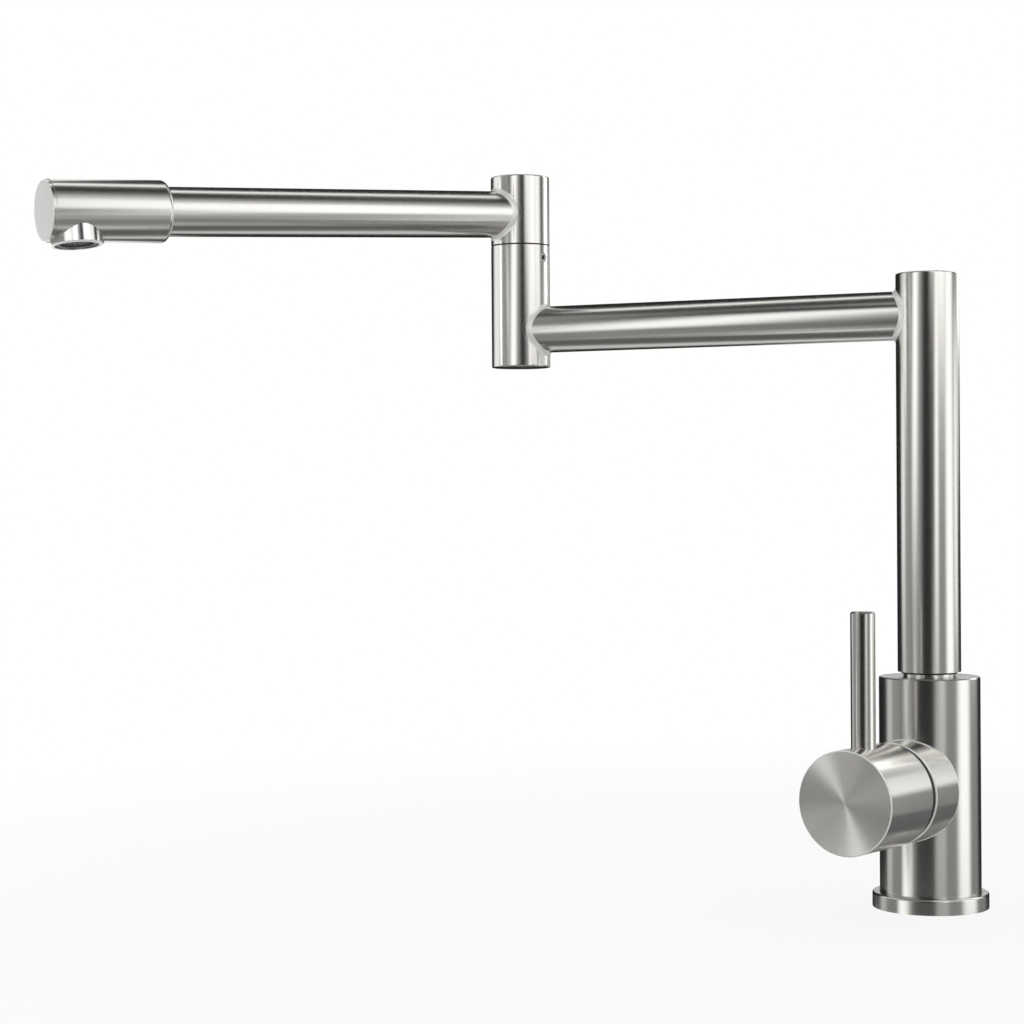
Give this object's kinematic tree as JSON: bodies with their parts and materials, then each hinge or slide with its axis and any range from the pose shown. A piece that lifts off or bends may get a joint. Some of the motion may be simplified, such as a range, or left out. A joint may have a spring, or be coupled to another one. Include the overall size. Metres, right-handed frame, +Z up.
{
  "type": "kitchen mixer tap",
  "caption": "Deck-mounted single-lever kitchen mixer in round brushed steel tube, with a side handle and a double-jointed swivel spout.",
  "frame": {"origin": "centre of the tap's underside, on the column's axis, in the plane of the deck", "axes": "+Z up along the column, -Y along the handle's axis towards the user"},
  "size_m": [0.3627, 0.3383, 0.3826],
  "materials": {
    "brushed_steel": "fine brushed",
    "polished_steel": "polished",
    "screw_steel": "plain",
    "screen_steel": "perforated sheet",
    "brass": "machined",
    "seal_rubber": "matt",
    "bearing_plastic": "matt",
    "aerator_plastic": "satin"
  },
  "bodies": {
    "base": {"base_flange": "brushed_steel", "deck_gasket": "seal_rubber", "body_shell": "brushed_steel", "valve_stub": "brushed_steel", "seam_ring": "bearing_plastic", "valve_block": "brass", "cartridge_sleeve": "brass", "sleeve_seals": "seal_rubber", "cartridge_nut": "brass", "collar_clip": "screw_steel", "column_set_screw": "screw_steel", "swivel_washer": "bearing_plastic"},
    "column": {"column_spigot": "polished_steel", "column_seals": "seal_rubber", "column_tube": "brushed_steel", "column_cap": "brushed_steel", "arm_1_tube": "brushed_steel", "arm_1_welds": "polished_steel", "lower_post": "brushed_steel", "lower_post_cap": "brushed_steel", "elbow_bush": "bearing_plastic", "elbow_set_screw": "screw_steel"},
    "spout_arm": {"elbow_spigot": "polished_steel", "elbow_seals": "seal_rubber", "elbow_washer": "bearing_plastic", "upper_post": "brushed_steel", "upper_post_cap": "brushed_steel", "arm_2_tube": "brushed_steel", "arm_2_weld": "polished_steel", "spout_head": "brushed_steel", "head_end_disc": "brushed_steel", "nozzle": "polished_steel", "aerator_seal": "seal_rubber", "aerator_housing": "aerator_plastic", "aerator_insert": "aerator_plastic", "aerator_screen": "screen_steel", "aerator_grille": "aerator_plastic"},
    "turning_collar": {"turning_collar": "brass"},
    "lever": {"handle_cap": "brushed_steel", "hinge_pin": "screw_steel", "handle_yoke": "brass", "lever_rod": "brushed_steel", "lever_set_screw": "screw_steel"},
    "spool": {"valve_spool": "polished_steel", "spool_seals": "seal_rubber", "stem_pin": "screw_steel"}
  },
  "joints": [
    {"name": "column_swivel", "type": "hinge", "parent": "base", "child": "column", "pos_m": [0, 0, 0.1], "axis": [0, 0, 1], "continuous": true},
    {"name": "elbow_swivel", "type": "hinge", "parent": "column", "child": "spout_arm", "pos_m": [-0.21677, -0.05646, 0.345], "axis": [0, 0, 1], "continuous": true},
    {"name": "handle_turn", "type": "hinge", "parent": "base", "child": "turning_collar", "pos_m": [0, -0.0476, 0.061], "axis": [0, -1, 0], "range_deg": [-45, 45]},
    {"name": "lever_tilt", "type": "hinge", "parent": "turning_collar", "child": "lever", "pos_m": [0, -0.04705, 0.0385], "axis": [1, 0, 0], "range_deg": [0, 15]},
    {"name": "stem_pull", "type": "slide", "parent": "turning_collar", "child": "spool", "axis": [0, -1, 0], "range_m": [0, 0.0065]}
  ],
  "couplings": [
    {"joint": "stem_pull", "follows": "lever_tilt", "m_per_rad": 0.02424}
  ]
}
